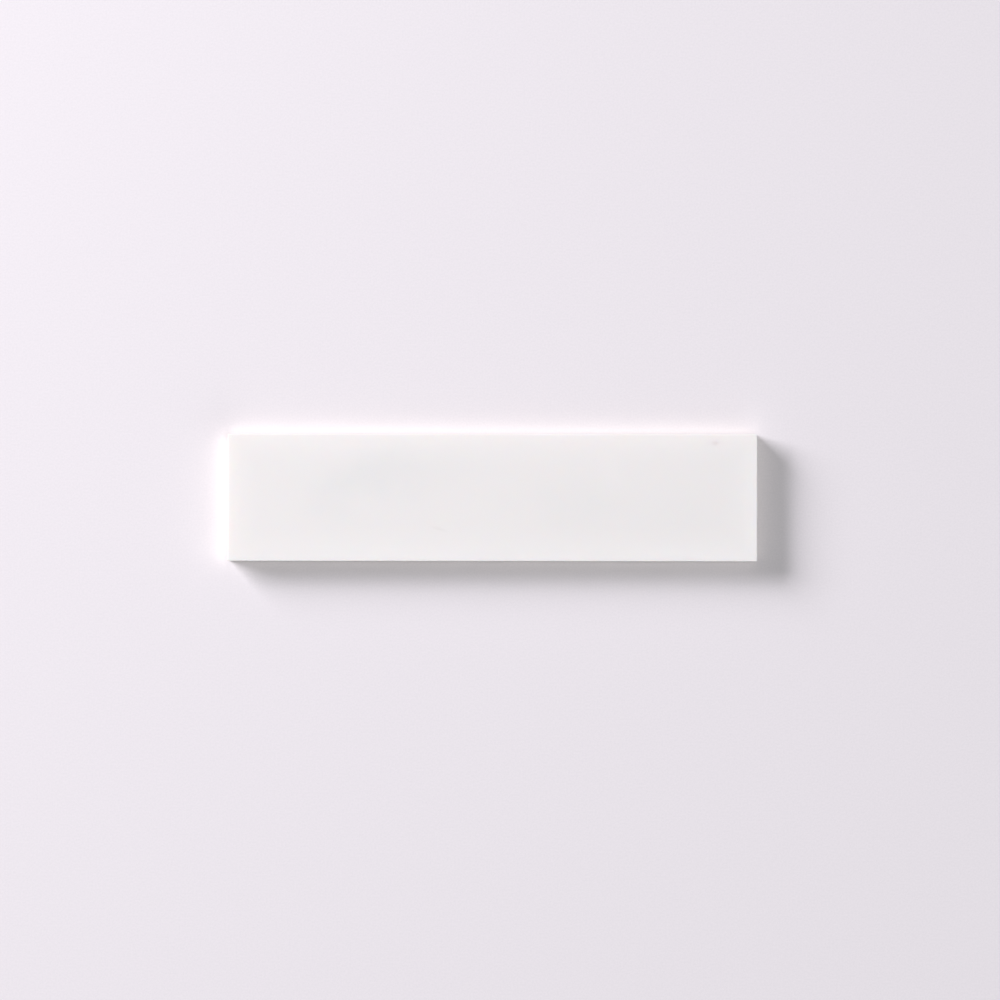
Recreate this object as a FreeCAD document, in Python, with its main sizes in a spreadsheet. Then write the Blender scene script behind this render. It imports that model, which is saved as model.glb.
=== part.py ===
import FreeCAD, Part
import os

import Sketcher

# A long, flat wall tile of the subway format: one piece, pressed, fired and ground square.
# It lies face up, with its length along X, its width along Y and its back on the plane z = 0.
# The origin is the middle of the back, on the rib that runs along the centre line.

DRIVING_SIZES = [
    ("tile_length", 250.0, "long side of the face"),
    ("tile_width", 60.0, "short side of the face"),
    ("tile_thickness", 9.0, "from the rib tops on the back to the face"),
    ("face_arris", 0.2, "radius where the face turns into the sides"),
    ("back_bevel", 0.4, "bevel round the back, both ways"),
    ("corner_easing", 0.1, "radius left at a corner of the flat face or back, inside its easing"),
    ("back_border", 6.0, "plain border of the back outside the grooves"),
    ("groove_width", 4.5, "width of a key groove at the back surface"),
    ("groove_depth", 0.7, "depth of a key groove"),
    ("groove_draft", 30.0, "slope of a groove wall away from upright, in degrees"),
    ("groove_root", 0.25, "radius along the foot of a groove wall"),
    ("least_rib", 3.2, "narrowest rib that may stand between two grooves"),
]

ON_PLANE = 1e-4
SIZES_NAME = "Sizes"
NODE_NAME = "tile"

# The numbers by which a sketch knows its two axes and the points of a line or an arc
X_AXIS, Y_AXIS = range(-1, -3, -1)
START, END, CENTRE = range(1, 4)
ORIGIN_POINT = (X_AXIS, START)

doc = FreeCAD.newDocument("SubwayWallTile")


def fill_size_sheet():
    """Writes each driving size to a row of its own: name, number and meaning."""
    sheet = doc.addObject("Spreadsheet::Sheet", SIZES_NAME)
    for row, (name, value, meaning) in enumerate(DRIVING_SIZES, start=1):
        sheet.set(f"A{row}", name)
        sheet.set(f"B{row}", str(value))
        sheet.set(f"C{row}", meaning)
        sheet.setAlias(f"B{row}", name)
    doc.recompute()
    return sheet


def origin_feature(body, role):
    """Gives the plane or axis of the body's own origin that has this role."""
    for feature in body.Origin.OriginFeatures:
        if feature.Role == role:
            return feature
    raise RuntimeError(f"no origin feature {role}")


def add_sketch(body, name):
    """Adds an empty sketch on the plane of the tile's back."""
    sketch = body.newObject("Sketcher::SketchObject", name)
    sketch.AttachmentSupport = (origin_feature(body, "XY_Plane"), [""])
    sketch.MapMode = "FlatFace"
    return sketch


def add_dimension(sketch, constraint, name, expression):
    """Adds a named dimension to a sketch and ties it to the sheet."""
    index = sketch.addConstraint(constraint)
    sketch.renameConstraint(index, name)
    sketch.setExpression(f"Constraints.{name}", expression)


def draw_face_outline(sketch, sizes):
    """Draws the tile's rectangle, centred on the origin."""
    half_length = sizes.tile_length / 2
    half_width = sizes.tile_width / 2
    corners = [
        FreeCAD.Vector(-half_length, -half_width, 0),
        FreeCAD.Vector(half_length, -half_width, 0),
        FreeCAD.Vector(half_length, half_width, 0),
        FreeCAD.Vector(-half_length, half_width, 0),
    ]
    for here, there in zip(corners, corners[1:] + corners[:1]):
        sketch.addGeometry(Part.LineSegment(here, there), False)
    front, right, back, left = range(4)
    for line, following in ((front, right), (right, back), (back, left), (left, front)):
        sketch.addConstraint(Sketcher.Constraint("Coincident", line, END, following, START))
    for line in (front, back):
        sketch.addConstraint(Sketcher.Constraint("Horizontal", line))
    for line in (right, left):
        sketch.addConstraint(Sketcher.Constraint("Vertical", line))
    sketch.addConstraint(Sketcher.Constraint("Symmetric", front, START, right, END, *ORIGIN_POINT))
    length_rule = Sketcher.Constraint("DistanceX", front, START, front, END, sizes.tile_length)
    add_dimension(sketch, length_rule, "face_length", f"{SIZES_NAME}.tile_length")
    width_rule = Sketcher.Constraint("DistanceY", right, START, right, END, sizes.tile_width)
    add_dimension(sketch, width_rule, "face_width", f"{SIZES_NAME}.tile_width")


def draw_key_groove(sketch, sizes):
    """Draws the outermost key groove: a long slot with round ends, inside the border."""
    radius = sizes.groove_width / 2
    half_run = sizes.tile_length / 2 - sizes.back_border - radius
    drop = sizes.tile_width / 2 - sizes.back_border - radius
    right_centre = FreeCAD.Vector(half_run, -drop, 0)
    left_centre = FreeCAD.Vector(-half_run, -drop, 0)
    across = FreeCAD.Vector(0, radius, 0)
    along = FreeCAD.Vector(radius, 0, 0)
    right_end = Part.Arc(right_centre - across, right_centre + along, right_centre + across)
    left_end = Part.Arc(left_centre + across, left_centre - along, left_centre - across)
    outline = [
        Part.LineSegment(left_centre + across, right_centre + across),
        right_end,
        Part.LineSegment(right_centre - across, left_centre - across),
        left_end,
    ]
    for piece in outline:
        sketch.addGeometry(piece, False)
    upper, right, lower, left = range(4)
    for line, line_point, arc, arc_point in (
        (upper, END, right, END),
        (lower, START, right, START),
        (lower, END, left, END),
        (upper, START, left, START),
    ):
        sketch.addConstraint(Sketcher.Constraint("Tangent", line, line_point, arc, arc_point))
    sketch.addConstraint(Sketcher.Constraint("Horizontal", upper))
    sketch.addConstraint(Sketcher.Constraint("Symmetric", left, CENTRE, right, CENTRE, Y_AXIS))
    width_rule = Sketcher.Constraint("Diameter", right, sizes.groove_width)
    add_dimension(sketch, width_rule, "slot_width", f"{SIZES_NAME}.groove_width")
    run_rule = Sketcher.Constraint("DistanceX", left, CENTRE, right, CENTRE, 2 * half_run)
    add_dimension(
        sketch,
        run_rule,
        "slot_run",
        f"{SIZES_NAME}.tile_length - 2 * {SIZES_NAME}.back_border - {SIZES_NAME}.groove_width",
    )
    drop_rule = Sketcher.Constraint("DistanceY", right, CENTRE, *ORIGIN_POINT, drop)
    add_dimension(
        sketch,
        drop_rule,
        "slot_drop",
        f"({SIZES_NAME}.tile_width - {SIZES_NAME}.groove_width) / 2 - {SIZES_NAME}.back_border",
    )


def edges_where(shape, test):
    """Names the edges of a shape that pass a test."""
    return [f"Edge{number}" for number, edge in enumerate(shape.Edges, start=1) if test(edge)]


def lies_at(edge, height):
    """Says whether a whole edge lies at one height."""
    box = edge.BoundBox
    return abs(box.ZMin - height) < ON_PLANE and abs(box.ZMax - height) < ON_PLANE


def stands_upright(edge):
    """Says whether an edge runs straight up."""
    box = edge.BoundBox
    return box.XLength < ON_PLANE and box.YLength < ON_PLANE


def ease_edges(body, kind, name, base, edge_names, size_property, expression):
    """Rounds or bevels the named edges of the last feature by a size worked out from the sheet."""
    easing = body.newObject(kind, name)
    easing.Base = (base, edge_names)
    easing.setExpression(size_property, expression)
    body.Tip = easing
    doc.recompute()
    return easing


def build_tile(sizes):
    """Builds the tile: a ground block with eased edges and a keyed back."""
    body = doc.addObject("PartDesign::Body", "Tile")
    body.Label = NODE_NAME

    # The block, from the rib tops of the back up to the face
    face_outline = add_sketch(body, "FaceOutline")
    draw_face_outline(face_outline, sizes)
    block = body.newObject("PartDesign::Pad", "Block")
    block.Profile = face_outline
    block.setExpression("Length", f"{SIZES_NAME}.tile_thickness")
    doc.recompute()

    # The upright corners, the face's arris and the bevel round the back
    upright = edges_where(block.Shape, stands_upright)
    corner_radius = (
        f"{SIZES_NAME}.corner_easing + max({SIZES_NAME}.face_arris; {SIZES_NAME}.back_bevel)"
    )
    corners = ease_edges(
        body, "PartDesign::Fillet", "CornerEasing", block, upright, "Radius", corner_radius
    )
    face_rim = edges_where(corners.Shape, lambda edge: lies_at(edge, sizes.tile_thickness))
    arris_radius = f"{SIZES_NAME}.face_arris"
    arris = ease_edges(
        body, "PartDesign::Fillet", "FaceArris", corners, face_rim, "Radius", arris_radius
    )
    back_rim = edges_where(arris.Shape, lambda edge: lies_at(edge, 0))
    bevel_size = f"{SIZES_NAME}.back_bevel"
    ease_edges(body, "PartDesign::Chamfer", "BackBevel", arris, back_rim, "Size", bevel_size)

    # One key groove with sloping walls, pressed into the back beside the border
    groove_outline = add_sketch(body, "GrooveOutline")
    draw_key_groove(groove_outline, sizes)
    groove = body.newObject("PartDesign::Pocket", "KeyGroove")
    groove.Profile = groove_outline
    groove.Reversed = True
    groove.setExpression("Length", f"{SIZES_NAME}.groove_depth")
    groove.setExpression("TaperAngle", f"-{SIZES_NAME}.groove_draft")
    doc.recompute()

    # As many grooves as the width takes, an even number so that a rib runs along the middle
    grooves = body.newObject("PartDesign::LinearPattern", "KeyedBack")
    grooves.Originals = [groove]
    grooves.Direction = (groove_outline, ["V_Axis"])
    grooves.setExpression(
        "Length",
        f"{SIZES_NAME}.tile_width - 2 * {SIZES_NAME}.back_border - {SIZES_NAME}.groove_width",
    )
    grooves.setExpression(
        "Occurrences",
        f"2 * floor(({SIZES_NAME}.tile_width - 2 * {SIZES_NAME}.back_border + {SIZES_NAME}.least_rib)"
        f" / (2 * ({SIZES_NAME}.groove_width + {SIZES_NAME}.least_rib)))",
    )
    body.Tip = grooves
    doc.recompute()

    # The soft foot of every groove wall, as a pressing die leaves it
    groove_feet = edges_where(grooves.Shape, lambda edge: lies_at(edge, sizes.groove_depth))
    root_radius = f"{SIZES_NAME}.groove_root"
    ease_edges(
        body, "PartDesign::Fillet", "GrooveRoots", grooves, groove_feet, "Radius", root_radius
    )
    return body


def check_model(body, sizes):
    """Stops the script unless every feature worked and the grooves were really cut."""
    for item in doc.Objects:
        if "Invalid" in item.State or "Error" in item.State:
            raise RuntimeError(f"{item.Name} failed: {item.State}")
    shape = body.Shape
    if shape.isNull() or not shape.isValid() or len(shape.Solids) != 1:
        raise RuntimeError("the tile is not one sound solid")
    bevelled = doc.getObject("BackBevel").Shape
    grooved = doc.getObject("KeyedBack").Shape
    count = doc.getObject("KeyedBack").Occurrences
    full_groove = (sizes.tile_length - 2 * sizes.back_border) * sizes.groove_width * sizes.groove_depth
    share = (bevelled.Volume - grooved.Volume) / (count * full_groove)
    print(f"{count} grooves, {share:.3f} of a square-walled groove's volume each")
    if not 0 < share < 1:
        raise RuntimeError("the grooves of the back are not cut to their draft")
    box = shape.optimalBoundingBox(False, False)
    print(f"tile {box.XLength:.3f} x {box.YLength:.3f} x {box.ZLength:.3f}, {shape.Volume:.1f} cubic mm")


sizes = fill_size_sheet()
tile = build_tile(sizes)
check_model(tile, sizes)
os.makedirs("parts", exist_ok=True)
tile.Shape.exportStep(f"parts/{tile.Label}.step")
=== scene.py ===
import math

import bmesh
import bpy
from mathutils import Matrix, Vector, noise


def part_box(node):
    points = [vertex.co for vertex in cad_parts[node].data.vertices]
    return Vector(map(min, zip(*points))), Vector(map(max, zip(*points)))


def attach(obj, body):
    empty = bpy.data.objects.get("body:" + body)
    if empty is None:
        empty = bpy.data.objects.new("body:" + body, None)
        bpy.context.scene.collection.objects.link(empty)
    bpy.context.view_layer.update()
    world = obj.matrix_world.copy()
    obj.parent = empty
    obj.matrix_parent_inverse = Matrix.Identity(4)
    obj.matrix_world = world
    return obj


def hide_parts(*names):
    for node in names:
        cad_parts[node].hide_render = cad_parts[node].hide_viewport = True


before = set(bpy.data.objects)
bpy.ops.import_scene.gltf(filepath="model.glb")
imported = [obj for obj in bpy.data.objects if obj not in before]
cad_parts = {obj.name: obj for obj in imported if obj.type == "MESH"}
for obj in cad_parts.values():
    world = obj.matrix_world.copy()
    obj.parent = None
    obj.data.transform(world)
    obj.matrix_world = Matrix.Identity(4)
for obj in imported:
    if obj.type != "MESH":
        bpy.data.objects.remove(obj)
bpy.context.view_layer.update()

# The wall tile
# A slab of off-white clay, pressed dry in a steel die, fired, ground square and glazed white on its face.
# The sides and back are bare clay, and adhesive that fills the back's grooves fixes it to the wall.

# Sizes of the slab, with a small round arris along the face and a bevel round the back
millimetre = 0.001
right_angle = math.pi / 2
slab_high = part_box("tile")[1]
half_length = slab_high.x
half_width = slab_high.y
face_height = slab_high.z
corner_radius = 0.5 * millimetre
corner_steps = 6
back_bevel = 0.4 * millimetre
arris_radius = 0.2 * millimetre
arris_steps = 6
arris_play = 0.35
arris_play_length = 7 * millimetre
arris_play_layer = 3.5
side_hold = 0.3 * millimetre
cells_along = 100
cells_across = 24
face_hollow = 0.03 * millimetre
face_hollow_length = 34 * millimetre
face_hollow_start = 4 * millimetre
face_hollow_layer = 0.5
sharp_angle = math.radians(35)

# Sizes of the grooves in the back, which stop short of the edge and leave a rib along the middle
groove_width = 4.5 * millimetre
groove_depth = 0.7 * millimetre
groove_draft = math.radians(30)
groove_root = 0.25 * millimetre
groove_count = 6
back_border = 6 * millimetre
groove_overrun = 0.5 * millimetre
groove_arc_steps = 12
groove_root_steps = 4
groove_half_run = half_length - back_border - groove_width / 2
first_groove = half_width - back_border - groove_width / 2
groove_pitch = 2 * first_groove / (groove_count - 1)

# The glaze: its colours, the uneven line where it ends on the sides, and the painted glow and painted rim
# highlight that lighten it towards the edge
glaze_white = (0.848, 0.825, 0.827, 1)
glaze_grey = (0.774, 0.776, 0.785, 1)
# The lighter white is painted light: it lightens the face towards its edges as a painted glow and a
# painted rim highlight
painted_edge_light_white = (0.938, 0.918, 0.922, 1)
glaze_depth = 0.55 * millimetre
glaze_sag = 0.16 * millimetre
glaze_sag_length = 5 * millimetre
glaze_lip = 0.06 * millimetre
# How far the painted glow and the painted rim highlight reach, and how strongly they show
painted_glow_border = 18 * millimetre
painted_glow_share = 0.27
painted_highlight_width = 0.9 * millimetre
painted_highlight_full_width = 0.3 * millimetre
painted_highlight_share = 0.18
glaze_roughness = 0.29
smear_roughness = 0.07
smear_size = 11 * millimetre
ripple_size = 2.6 * millimetre
ripple_share = 0.08

# The marks in the glaze, placed on the face in millimetres and degrees, and how strongly each one shows
# Three greyer patches, placed where the face reads slightly darker
clouds = (
    {"middle": (-52, 8), "half_size": (62, 26), "turn": 8, "ragged_size": 30, "ragged_reach": 26},
    {"middle": (30, -2), "half_size": (48, 20), "turn": -6, "ragged_size": 26, "ragged_reach": 22},
    {"middle": (80, -8), "half_size": (52, 24), "turn": 0, "ragged_size": 30, "ragged_reach": 24},
)
cloud_shares = (1, 0.5, 0.3)
cloud_least = 0.22
cloud_veil = 0.42
veil_size = 28 * millimetre
stain = {
    "middle": (105.0, 26.1), "half_size": (6.5, 3.6), "turn": 0, "ragged_size": 3, "ragged_reach": 1.5
}
stain_pink = (0.810, 0.700, 0.735, 1)
stain_share = 0.18
speck = {
    "middle": (105.3, 25.8), "half_size": (2.6, 1.5), "turn": 4, "ragged_size": 1.4, "ragged_reach": 0.7
}
speck_brown = (0.460, 0.375, 0.365, 1)
speck_share = 0.19
hairline = {
    "middle": (-25.0, -14.8), "half_size": (5.8, 1.3), "turn": -17, "ragged_size": 3.5, "ragged_reach": 1.4
}
hairline_grey = (0.700, 0.680, 0.680, 1)
hairline_share = 0.2

# The bare clay: its colours, its grain and grinding lines, and the kiln wash left on the tops of the ribs
clay_cream = (0.775, 0.738, 0.640, 1)
clay_sandy = (0.685, 0.632, 0.515, 1)
kiln_wash_white = (0.830, 0.820, 0.790, 1)
clay_roughness = 0.82
sand_size = 0.45 * millimetre
sand_share = 0.30
blotch_size = 14 * millimetre
blotch_share = 0.15
wash_top = 0.02 * millimetre
wash_end = 0.12 * millimetre
wash_size = 9 * millimetre
grit_size = 0.3 * millimetre
grit_share = 0.65
line_size = 0.22 * millimetre
line_stretch = (0.012, 0.012, 1)
line_share = 0.35

# What glaze and clay share: the fine relief's depth, and light that enters the body and leaves it again
relief_depth = 0.04 * millimetre
tile_ior = 1.5
glow_share = 0.15
glow_depth = 12 * millimetre
glow_reach = (1.0, 0.56, 0.32)

# The level that every grain pattern plays about, and how far it plays at a contrast of one
grain_middle = 0.5
grain_play = 0.25


def wander(point, length, layer):
    """Gives a slow, fixed wander between 0 and 1 along or over the slab."""
    return 0.5 + 0.5 * noise.noise(Vector((point.x / length, point.y / length, layer)))


def face_point(column, row):
    """Gives a point of the face's grid, which ends one corner radius inside the outline."""
    x = (2 * column / cells_along - 1) * (half_length - corner_radius)
    y = (2 * row / cells_across - 1) * (half_width - corner_radius)
    return Vector((x, y))


def face_level(point):
    """Gives the height of the fired face, which sinks by hundredths of a millimetre in slow swells."""
    from_edge = min(half_length - abs(point.x), half_width - abs(point.y)) - corner_radius
    share = min(from_edge / face_hollow_start, 1)
    ease = share * share * (3 - 2 * share)
    return face_height - face_hollow * ease * wander(point, face_hollow_length, face_hollow_layer)


def rim_walk():
    """Walks once round the slab, giving the way outwards and the face grid's border point at each step."""
    columns = (cells_along, cells_along, 0, 0)
    rows = (0, cells_across, cells_across, 0)
    steps = []
    for corner in range(4):
        following = (corner + 1) % 4
        for step in range(corner_steps):
            angle = (corner - 1 + step / corner_steps) * right_angle
            steps.append((angle, columns[corner], rows[corner]))
        run = columns[following] - columns[corner]
        climb = rows[following] - rows[corner]
        cells = abs(run) + abs(climb)
        for step in range(cells):
            column = columns[corner] + run * step // cells
            row = rows[corner] + climb * step // cells
            steps.append((corner * right_angle, column, row))
    return [(Vector((math.cos(angle), math.sin(angle))), column, row) for angle, column, row in steps]


def arris_at(point):
    """Gives the arris radius at a point of the edge, which comes and goes a little along it."""
    return arris_radius * (1 - arris_play * wander(point, arris_play_length, arris_play_layer))


def slab_mesh():
    """Builds the closed slab from rings round its edge, a grid over its face and one face for its back."""
    shell = bmesh.new()
    rim = rim_walk()
    stations = [face_point(column, row) for _, column, row in rim]

    def ring(insets, heights):
        """Adds a ring of points, each moved in from the outline and set at its own height."""
        return [
            shell.verts.new((*(station + outward * (corner_radius - inset)), height))
            for station, (outward, _, _), inset, height in zip(stations, rim, insets, heights)
        ]

    def level_ring(inset, height):
        """Adds a ring that keeps one inset and one height all the way round."""
        return ring([inset] * len(rim), [height] * len(rim))

    rings = [
        level_ring(back_bevel, 0),
        level_ring(0, back_bevel),
        level_ring(0, back_bevel + side_hold),
        level_ring(0, face_height - arris_radius - side_hold),
    ]
    radii = [arris_at(station) for station in stations]
    for step in range(arris_steps + 1):
        angle = right_angle * step / arris_steps
        insets = [radius * (1 - math.cos(angle)) for radius in radii]
        heights = [face_height - radius * (1 - math.sin(angle)) for radius in radii]
        rings.append(ring(insets, heights))

    grid = {}
    for column in range(cells_along + 1):
        for row in range(cells_across + 1):
            point = face_point(column, row)
            grid[column, row] = shell.verts.new((*point, face_level(point)))
    rings.append([grid[column, row] for _, column, row in rim])

    # All the steps round a corner meet one point of the grid, so a point that comes twice is dropped
    following = [*range(1, len(rim)), 0]
    for lower, upper in zip(rings, rings[1:]):
        for here, there in enumerate(following):
            corners = dict.fromkeys((lower[here], lower[there], upper[there], upper[here]))
            shell.faces.new(tuple(corners))
    for column in range(cells_along):
        for row in range(cells_across):
            shell.faces.new(
                (
                    grid[column, row],
                    grid[column + 1, row],
                    grid[column + 1, row + 1],
                    grid[column, row + 1],
                )
            )
    shell.faces.new(tuple(reversed(rings[0])))
    mesh = bpy.data.meshes.new("pressed_slab")
    shell.to_mesh(mesh)
    shell.free()
    return mesh


def groove_profile():
    """Gives inset and height up a groove's wall, from below the back to the end of its rounded foot."""
    turn = right_angle - groove_draft
    tangent = groove_root * math.tan(turn / 2)
    foot_inset = groove_depth * math.tan(groove_draft) + tangent
    profile = [(-groove_overrun * math.tan(groove_draft), -groove_overrun)]
    for step in range(groove_root_steps + 1):
        angle = turn * (1 - step / groove_root_steps)
        inset = foot_inset - groove_root * math.sin(angle)
        height = groove_depth - groove_root * (1 - math.cos(angle))
        profile.append((inset, height))
    return profile


def groove_mesh():
    """Builds the solid that one groove takes out of the back, centred on the origin."""
    solid = bmesh.new()
    rings = []
    for inset, height in groove_profile():
        radius = groove_width / 2 - inset
        ring = []
        for end, first_angle in ((1, -right_angle), (-1, right_angle)):
            for step in range(groove_arc_steps + 1):
                angle = first_angle + math.pi * step / groove_arc_steps
                x = end * groove_half_run + radius * math.cos(angle)
                ring.append(solid.verts.new((x, radius * math.sin(angle), height)))
        rings.append(ring)
    for lower, upper in zip(rings, rings[1:]):
        for here in range(len(lower)):
            there = (here + 1) % len(lower)
            solid.faces.new((lower[here], lower[there], upper[there], upper[here]))
    solid.faces.new(tuple(reversed(rings[0])))
    solid.faces.new(tuple(rings[-1]))
    mesh = bpy.data.meshes.new("groove")
    solid.to_mesh(mesh)
    solid.free()
    return mesh


def add_node(tree, kind, **settings):
    """Adds a node to a tree and sets its own options."""
    made = tree.nodes.new(kind)
    for name, value in settings.items():
        setattr(made, name, value)
    return made


def feed(tree, socket, source):
    """Joins a socket to another node's output, or sets it to a plain value."""
    if isinstance(source, bpy.types.NodeSocket):
        tree.links.new(source, socket)
    else:
        socket.default_value = source


def keyed_back_tree():
    """Builds the node tree that sets a row of grooves across the back and takes them out of the slab."""
    tree = bpy.data.node_groups.new("keyed back", "GeometryNodeTree")
    for name, kind in (
        ("Slab", "NodeSocketGeometry"),
        ("Groove", "NodeSocketObject"),
        ("Groove Count", "NodeSocketInt"),
        ("First Groove", "NodeSocketVector"),
        ("Groove Step", "NodeSocketVector"),
        ("Finish", "NodeSocketMaterial"),
    ):
        tree.interface.new_socket(name, in_out="INPUT", socket_type=kind)
    tree.interface.new_socket("Tile", in_out="OUTPUT", socket_type="NodeSocketGeometry")
    start = add_node(tree, "NodeGroupInput")
    end = add_node(tree, "NodeGroupOutput")
    row = add_node(tree, "GeometryNodeMeshLine", mode="OFFSET")
    groove = add_node(tree, "GeometryNodeObjectInfo")
    placed = add_node(tree, "GeometryNodeInstanceOnPoints")
    grooves = add_node(tree, "GeometryNodeRealizeInstances")
    cut = add_node(tree, "GeometryNodeMeshBoolean", operation="DIFFERENCE", solver="EXACT")
    tile = add_node(tree, "GeometryNodeRealizeInstances")
    finish = add_node(tree, "GeometryNodeSetMaterial")
    feed(tree, row.inputs["Count"], start.outputs["Groove Count"])
    feed(tree, row.inputs["Start Location"], start.outputs["First Groove"])
    feed(tree, row.inputs["Offset"], start.outputs["Groove Step"])
    feed(tree, groove.inputs["Object"], start.outputs["Groove"])
    feed(tree, placed.inputs["Points"], row.outputs["Mesh"])
    feed(tree, placed.inputs["Instance"], groove.outputs["Geometry"])
    feed(tree, grooves.inputs["Geometry"], placed.outputs["Instances"])
    feed(tree, cut.inputs["Mesh 1"], start.outputs["Slab"])
    feed(tree, cut.inputs["Mesh 2"], grooves.outputs["Geometry"])
    feed(tree, tile.inputs["Geometry"], cut.outputs["Mesh"])
    feed(tree, finish.inputs["Geometry"], tile.outputs["Geometry"])
    feed(tree, finish.inputs["Material"], start.outputs["Finish"])
    feed(tree, end.inputs["Tile"], finish.outputs["Geometry"])
    return tree


def key_back(slab, groove, finish):
    """Runs the keyed-back tree on the slab and keeps its result as the slab's own mesh."""
    tree = keyed_back_tree()
    keys = slab.modifiers.new("keyed back", "NODES")
    keys.node_group = tree
    values = {
        "Groove": groove,
        "Groove Count": groove_count,
        "First Groove": (0, -first_groove, 0),
        "Groove Step": (0, groove_pitch, 0),
        "Finish": finish,
    }
    for socket in tree.interface.items_tree:
        if socket.in_out == "INPUT" and socket.name in values:
            keys[socket.identifier] = values[socket.name]
    blank = slab.data
    evaluated = slab.evaluated_get(bpy.context.evaluated_depsgraph_get())
    slab.data = bpy.data.meshes.new_from_object(evaluated)
    slab.data.name = "wall_tile"
    slab.modifiers.remove(keys)
    bpy.data.meshes.remove(blank)


def reckon(tree, operation, *values):
    """Works out one sum of values or sockets."""
    made = add_node(tree, "ShaderNodeMath", operation=operation)
    for socket, value in zip(made.inputs, values):
        feed(tree, socket, value)
    return made.outputs["Value"]


def rise(tree, value, start, end):
    """Gives a soft step from 0 at start to 1 at end."""
    made = add_node(tree, "ShaderNodeMapRange", interpolation_type="SMOOTHSTEP")
    feed(tree, made.inputs["Value"], value)
    feed(tree, made.inputs["From Min"], start)
    feed(tree, made.inputs["From Max"], end)
    return made.outputs["Result"]


def mix(tree, kind, share, first, second):
    """Mixes two values, or two colours, by a share."""
    made = add_node(tree, "ShaderNodeMix", data_type=kind)
    suffix = {"FLOAT": "Float", "RGBA": "Color"}[kind]
    inputs = {socket.identifier: socket for socket in made.inputs}
    outputs = {socket.identifier: socket for socket in made.outputs}
    feed(tree, inputs["Factor_Float"], share)
    feed(tree, inputs[f"A_{suffix}"], first)
    feed(tree, inputs[f"B_{suffix}"], second)
    return outputs[f"Result_{suffix}"]


def new_group(name, inputs, outputs):
    """Makes a shader node group with named sockets and gives it with its two end nodes."""
    group = bpy.data.node_groups.new(name, "ShaderNodeTree")
    for direction, sockets in (("INPUT", inputs), ("OUTPUT", outputs)):
        for socket_name, kind in sockets:
            group.interface.new_socket(socket_name, in_out=direction, socket_type=kind)
    return group, add_node(group, "NodeGroupInput"), add_node(group, "NodeGroupOutput")


def use_group(tree, group, values):
    """Places a node group in a tree with its own values and gives the placed node."""
    made = add_node(tree, "ShaderNodeGroup", node_tree=group)
    for name, value in values.items():
        feed(tree, made.inputs[name], value)
    return made


def grain_group():
    """Builds the mottled grain that clay, glaze and paper share: soft spots of a given size."""
    group, start, end = new_group(
        "mottled grain",
        [
            ("Where", "NodeSocketVector"),
            ("Spot Size", "NodeSocketFloat"),
            ("Fineness", "NodeSocketFloat"),
            ("Contrast", "NodeSocketFloat"),
        ],
        [("Spots", "NodeSocketFloat")],
    )
    texture = add_node(group, "ShaderNodeTexNoise")
    feed(group, texture.inputs["Vector"], start.outputs["Where"])
    feed(group, texture.inputs["Scale"], reckon(group, "DIVIDE", 1, start.outputs["Spot Size"]))
    feed(group, texture.inputs["Detail"], start.outputs["Fineness"])
    half_span = reckon(group, "DIVIDE", grain_play, start.outputs["Contrast"])
    low = reckon(group, "SUBTRACT", grain_middle, half_span)
    high = reckon(group, "ADD", grain_middle, half_span)
    feed(group, end.inputs["Spots"], rise(group, texture.outputs["Fac"], low, high))
    return group


def patch_group():
    """Builds a soft patch on the face: full in the middle of an ellipse and gone at its ragged edge."""
    group, start, end = new_group(
        "soft patch",
        [
            ("Where", "NodeSocketVector"),
            ("Centre", "NodeSocketVector"),
            ("Half Size", "NodeSocketVector"),
            ("Turn", "NodeSocketVector"),
            ("Ragged Size", "NodeSocketFloat"),
            ("Ragged Reach", "NodeSocketFloat"),
        ],
        [("Mask", "NodeSocketFloat")],
    )
    ragged = add_node(group, "ShaderNodeTexNoise")
    feed(group, ragged.inputs["Vector"], start.outputs["Where"])
    feed(group, ragged.inputs["Scale"], reckon(group, "DIVIDE", 1, start.outputs["Ragged Size"]))
    centred = add_node(group, "ShaderNodeVectorMath", operation="SUBTRACT")
    feed(group, centred.inputs[0], ragged.outputs["Color"])
    feed(group, centred.inputs[1], [grain_middle] * 3)
    shift = add_node(group, "ShaderNodeVectorMath", operation="SCALE")
    feed(group, shift.inputs[0], centred.outputs["Vector"])
    feed(group, shift.inputs["Scale"], start.outputs["Ragged Reach"])
    moved = add_node(group, "ShaderNodeVectorMath", operation="ADD")
    feed(group, moved.inputs[0], start.outputs["Where"])
    feed(group, moved.inputs[1], shift.outputs["Vector"])
    placed = add_node(group, "ShaderNodeMapping", vector_type="TEXTURE")
    feed(group, placed.inputs["Vector"], moved.outputs["Vector"])
    feed(group, placed.inputs["Location"], start.outputs["Centre"])
    feed(group, placed.inputs["Rotation"], start.outputs["Turn"])
    feed(group, placed.inputs["Scale"], start.outputs["Half Size"])
    distance = add_node(group, "ShaderNodeVectorMath", operation="LENGTH")
    feed(group, distance.inputs[0], placed.outputs["Vector"])
    feed(group, end.inputs["Mask"], rise(group, distance.outputs["Value"], 1, 0))
    return group


grain = grain_group()
patch = patch_group()


def spots(tree, where, size, fineness, contrast):
    """Gives grain of one spot size as a mask."""
    placed = use_group(
        tree,
        grain,
        {"Where": where, "Spot Size": size, "Fineness": fineness, "Contrast": contrast},
    )
    return placed.outputs["Spots"]


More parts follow.
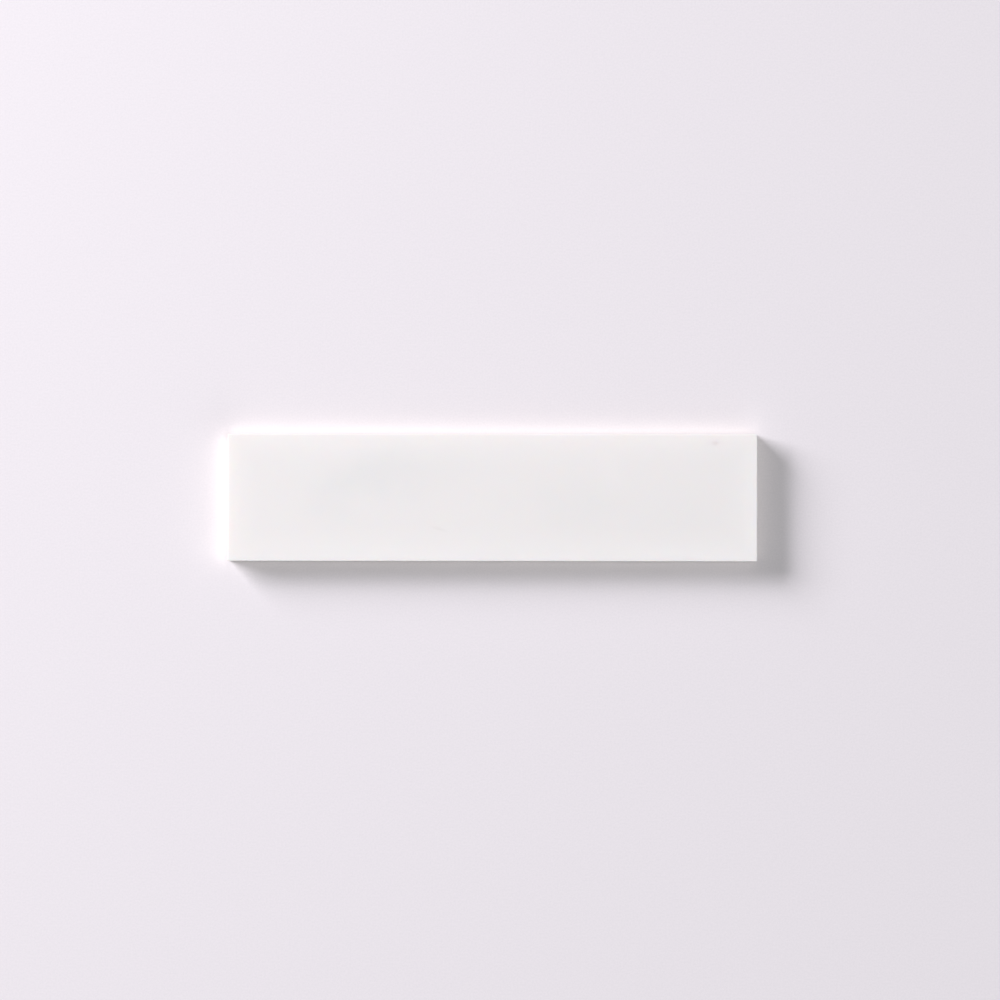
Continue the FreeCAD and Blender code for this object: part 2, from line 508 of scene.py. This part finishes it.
def face_mark(tree, where, middle, half_size, turn, ragged_size, ragged_reach):
    """Gives a soft mark on the face as a mask, from sizes in millimetres and a turn in degrees."""
    placed = use_group(
        tree,
        patch,
        {
            "Where": where,
            "Centre": (middle[0] * millimetre, middle[1] * millimetre, face_height),
            "Half Size": (half_size[0] * millimetre, half_size[1] * millimetre, 1),
            "Turn": (0, 0, math.radians(turn)),
            "Ragged Size": ragged_size * millimetre,
            "Ragged Reach": ragged_reach * millimetre,
        },
    )
    return placed.outputs["Mask"]


def tint(tree, colour, other, mask, share):
    """Tints a colour towards another one where a mask is full, by no more than a share."""
    return mix(tree, "RGBA", reckon(tree, "MULTIPLY", mask, share), colour, other)


def glaze_colour(tree, where, across, along):
    """Colours the glaze: its white, the faint clouds, a painted glow and a painted rim highlight towards
    the edges, and the three small marks.
    """
    cloud = 0
    for place, share in zip(clouds, cloud_shares):
        cloud = reckon(tree, "MULTIPLY_ADD", face_mark(tree, where, **place), share, cloud)
    veil = spots(tree, where, veil_size, fineness=3, contrast=0.9)
    density = reckon(tree, "MULTIPLY_ADD", veil, cloud_veil, cloud_least)
    colour = mix(tree, "RGBA", reckon(tree, "MULTIPLY", cloud, density), glaze_white, glaze_grey)
    from_end = reckon(tree, "SUBTRACT", half_length, reckon(tree, "ABSOLUTE", along))
    from_side = reckon(tree, "SUBTRACT", half_width, reckon(tree, "ABSOLUTE", across))
    from_edge = reckon(tree, "MINIMUM", from_end, from_side)
    # Painted glow: the white is painted lighter towards every edge of the face, with a painted highlight
    # along the rim
    painted_glow = reckon(tree, "MULTIPLY", rise(tree, from_edge, painted_glow_border, 0), painted_glow_share)
    rim = rise(tree, from_edge, painted_highlight_width, painted_highlight_full_width)
    painted_edge_light = reckon(tree, "MULTIPLY_ADD", rim, painted_highlight_share, painted_glow)
    colour = mix(tree, "RGBA", painted_edge_light, colour, painted_edge_light_white)
    for place, mark_colour, share in (
        (stain, stain_pink, stain_share),
        (speck, speck_brown, speck_share),
        (hairline, hairline_grey, hairline_share),
    ):
        colour = tint(tree, colour, mark_colour, face_mark(tree, where, **place), share)
    return colour


def clay_colour(tree, where, height):
    """Colours the bare body: sandy grain in cream clay, and kiln wash rubbed off the ribs in places."""
    sand = spots(tree, where, sand_size, fineness=2, contrast=1.6)
    blotch = spots(tree, where, blotch_size, fineness=3, contrast=1.0)
    share = reckon(tree, "MULTIPLY_ADD", sand, sand_share, reckon(tree, "MULTIPLY", blotch, blotch_share))
    colour = mix(tree, "RGBA", share, clay_cream, clay_sandy)
    rib_top = rise(tree, height, wash_end, wash_top)
    rubbed = spots(tree, where, wash_size, fineness=5, contrast=1.4)
    return tint(tree, colour, kiln_wash_white, rib_top, rubbed)


def surface_relief(tree, where, glazed):
    """Gives the height of the fine relief: ripple in the glaze, grain and grinding lines in the clay."""
    ripple = spots(tree, where, ripple_size, fineness=1, contrast=0.5)
    stretched = add_node(tree, "ShaderNodeMapping")
    feed(tree, stretched.inputs["Vector"], where)
    feed(tree, stretched.inputs["Scale"], line_stretch)
    lines = spots(tree, stretched.outputs["Vector"], line_size, fineness=2, contrast=1.0)
    grit = spots(tree, where, grit_size, fineness=3, contrast=1.0)
    clay = reckon(tree, "MULTIPLY_ADD", grit, grit_share, reckon(tree, "MULTIPLY", lines, line_share))
    return mix(tree, "FLOAT", glazed, clay, reckon(tree, "MULTIPLY", ripple, ripple_share))


def tile_finish():
    """Makes the tile's one fired finish, glazed above the glaze line and bare below it."""
    material = bpy.data.materials.new("white_glaze_on_cream_clay")
    material.use_nodes = True
    tree = material.node_tree
    shader = tree.nodes["Principled BSDF"]
    where = add_node(tree, "ShaderNodeTexCoord").outputs["Object"]
    parts = add_node(tree, "ShaderNodeSeparateXYZ")
    feed(tree, parts.inputs["Vector"], where)
    along, across, height = (parts.outputs[axis] for axis in "XYZ")

    runs = spots(tree, where, glaze_sag_length, fineness=3, contrast=1.0)
    level = reckon(tree, "SUBTRACT", height, reckon(tree, "MULTIPLY", runs, glaze_sag))
    lowest = face_height - glaze_depth - glaze_sag
    glazed = rise(tree, level, lowest, lowest + glaze_lip)

    clay = clay_colour(tree, where, height)
    glaze = glaze_colour(tree, where, across, along)
    feed(tree, shader.inputs["Base Color"], mix(tree, "RGBA", glazed, clay, glaze))

    smears = spots(tree, where, smear_size, fineness=4, contrast=0.8)
    smeared = reckon(tree, "MULTIPLY_ADD", smears, smear_roughness, glaze_roughness)
    feed(tree, shader.inputs["Roughness"], mix(tree, "FLOAT", glazed, clay_roughness, smeared))

    relief = add_node(tree, "ShaderNodeBump")
    feed(tree, relief.inputs["Distance"], relief_depth)
    feed(tree, relief.inputs["Height"], surface_relief(tree, where, glazed))
    feed(tree, shader.inputs["Normal"], relief.outputs["Normal"])

    shader.inputs["IOR"].default_value = tile_ior
    shader.inputs["Subsurface Weight"].default_value = glow_share
    shader.inputs["Subsurface Scale"].default_value = glow_depth
    shader.inputs["Subsurface Radius"].default_value = glow_reach
    return material


wall_tile = bpy.data.objects.new("wall_tile", slab_mesh())
bpy.context.collection.objects.link(wall_tile)
groove = bpy.data.objects.new("groove", groove_mesh())
bpy.context.collection.objects.link(groove)
key_back(wall_tile, groove, tile_finish())
bpy.data.objects.remove(groove)
wall_tile.data.shade_smooth()
wall_tile.data.set_sharp_from_angle(angle=sharp_angle)
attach(wall_tile, "root")
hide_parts("tile")

# The floor
# A wide sheet of pale, faintly lavender paper, matt and fine-grained, that the tile lies on.
# Far from the tile it fades into the even pale background that shows beyond it.
floor_half_size = 8
floor_cells = 8
floor_pale = (0.843, 0.807, 0.853, 1)
floor_shade = (0.802, 0.771, 0.817, 1)
background_pale = (0.830, 0.795, 0.845, 1)
fibre_size = 0.9 * millimetre
fibre_relief = 0.01 * millimetre
paper_roughness = 0.95
paper_shine = 0.1
fade_start = 0.34
fade_end = 0.70


def floor_mesh():
    """Builds the flat sheet just under the tile."""
    sheet = bmesh.new()
    bmesh.ops.create_grid(sheet, x_segments=floor_cells, y_segments=floor_cells, size=floor_half_size)
    mesh = bpy.data.meshes.new("floor")
    sheet.to_mesh(mesh)
    sheet.free()
    return mesh


def seen_directly(tree):
    """Gives 1 to what the camera sees itself or in a shiny or clear surface, and 0 to light on its way."""
    path = add_node(tree, "ShaderNodeLightPath")
    shiny = reckon(tree, "MAXIMUM", path.outputs["Is Glossy Ray"], path.outputs["Is Transmission Ray"])
    return reckon(tree, "MAXIMUM", path.outputs["Is Camera Ray"], shiny)


def floor_finish():
    """Makes the paper's finish, with its fade into the background."""
    material = bpy.data.materials.new("pale_paper")
    material.use_nodes = True
    tree = material.node_tree
    shader = tree.nodes["Principled BSDF"]
    where = add_node(tree, "ShaderNodeTexCoord").outputs["Object"]
    fibres = spots(tree, where, fibre_size, fineness=2, contrast=0.8)
    feed(tree, shader.inputs["Base Color"], mix(tree, "RGBA", fibres, floor_pale, floor_shade))
    relief = add_node(tree, "ShaderNodeBump")
    feed(tree, relief.inputs["Distance"], fibre_relief)
    feed(tree, relief.inputs["Height"], fibres)
    feed(tree, shader.inputs["Normal"], relief.outputs["Normal"])
    shader.inputs["Roughness"].default_value = paper_roughness
    shader.inputs["Specular IOR Level"].default_value = paper_shine
    reach = add_node(tree, "ShaderNodeVectorMath", operation="LENGTH")
    feed(tree, reach.inputs[0], where)
    far = rise(tree, reach.outputs["Value"], fade_start, fade_end)
    background = add_node(tree, "ShaderNodeEmission")
    background.inputs["Color"].default_value = background_pale
    fade = add_node(tree, "ShaderNodeMixShader")
    feed(tree, fade.inputs["Fac"], reckon(tree, "MULTIPLY", far, seen_directly(tree)))
    feed(tree, fade.inputs[1], shader.outputs["BSDF"])
    feed(tree, fade.inputs[2], background.outputs["Emission"])
    feed(tree, tree.nodes["Material Output"].inputs["Surface"], fade.outputs["Shader"])
    return material


floor = bpy.data.objects.new("floor", floor_mesh())
floor.data.materials.append(floor_finish())
bpy.context.collection.objects.link(floor)

# The studio light
# One broad soft lamp low at the upper left makes the shadow, and two weaker ones fill it in.
# The surroundings have the floor's pale tone and a soft glow for shiny surfaces to mirror.
window_white = (1.0, 0.972, 0.997)
fill_white = (0.99, 1.0, 0.985)
sheen_bearing = 148
sheen_elevation = 22
sheen_reach = math.radians(40)
sheen_strength = 0.5


def direction(bearing, elevation):
    """Gives the way from the tile towards a bearing and an elevation in degrees."""
    turn = math.radians(bearing)
    tilt = math.radians(elevation)
    return Vector((math.cos(turn) * math.cos(tilt), math.sin(turn) * math.cos(tilt), math.sin(tilt)))


def soft_lamp(name, bearing, elevation, distance, width, height, power, colour):
    """Hangs a broad lamp at a bearing and an elevation in degrees, turned towards the tile."""
    lamp = bpy.data.lights.new(name, "AREA")
    lamp.shape = "RECTANGLE"
    lamp.size = width
    lamp.size_y = height
    lamp.energy = power
    lamp.color = colour
    holder = bpy.data.objects.new(name, lamp)
    towards = direction(bearing, elevation)
    holder.location = towards * distance
    holder.rotation_euler = towards.to_track_quat("Z", "Y").to_euler()
    holder.visible_camera = False
    holder.visible_glossy = False
    bpy.context.collection.objects.link(holder)


def window_sheen(tree):
    """Gives the soft glow of the window lamp that shiny surfaces mirror, brightest at its middle."""
    nearness = add_node(tree, "ShaderNodeVectorMath", operation="DOT_PRODUCT")
    feed(tree, nearness.inputs[0], add_node(tree, "ShaderNodeTexCoord").outputs["Generated"])
    feed(tree, nearness.inputs[1], direction(sheen_bearing, sheen_elevation))
    glow = rise(tree, nearness.outputs["Value"], math.cos(sheen_reach), 1)
    mirrored = add_node(tree, "ShaderNodeLightPath").outputs["Is Glossy Ray"]
    return reckon(tree, "MULTIPLY", reckon(tree, "MULTIPLY", glow, sheen_strength), mirrored)


soft_lamp(
    "window_lamp",
    bearing=149,
    elevation=20.2,
    distance=3.5,
    width=2.1,
    height=1.2,
    power=219,
    colour=window_white,
)
soft_lamp(
    "ceiling_lamp",
    bearing=347,
    elevation=82.5,
    distance=3.0,
    width=0.9,
    height=0.9,
    power=33,
    colour=fill_white,
)
soft_lamp(
    "fill_lamp",
    bearing=308,
    elevation=22,
    distance=3.0,
    width=3.0,
    height=1.4,
    power=24,
    colour=fill_white,
)
world = bpy.data.worlds.new("pale_surroundings")
bpy.context.scene.world = world
world.use_nodes = True
sky = world.node_tree
shown = sky.nodes["Background"]
shown.inputs["Color"].default_value = background_pale
feed(sky, shown.inputs["Strength"], reckon(sky, "ADD", seen_directly(sky), window_sheen(sky)))

# The camera
# It looks straight down on the face from about 2.7 metres, turned by less than a tenth of a degree.
# Its view is nearly twice as wide as the tile is long, with the tile a touch left of and above the middle.
field_of_view = math.radians(10)
frame_width = 472.1 * millimetre
camera_along = 3.58 * millimetre
camera_across = -1.14 * millimetre
camera_turn = math.radians(0.06)
camera_data = bpy.data.cameras.new("camera")
camera_data.angle = field_of_view
camera = bpy.data.objects.new("camera", camera_data)
camera_height = face_height + frame_width / 2 / math.tan(field_of_view / 2)
camera.location = (camera_along, camera_across, camera_height)
camera.rotation_euler = (0, 0, camera_turn)
bpy.context.collection.objects.link(camera)
bpy.context.scene.camera = camera
bpy.context.scene.view_settings.view_transform = "Standard"
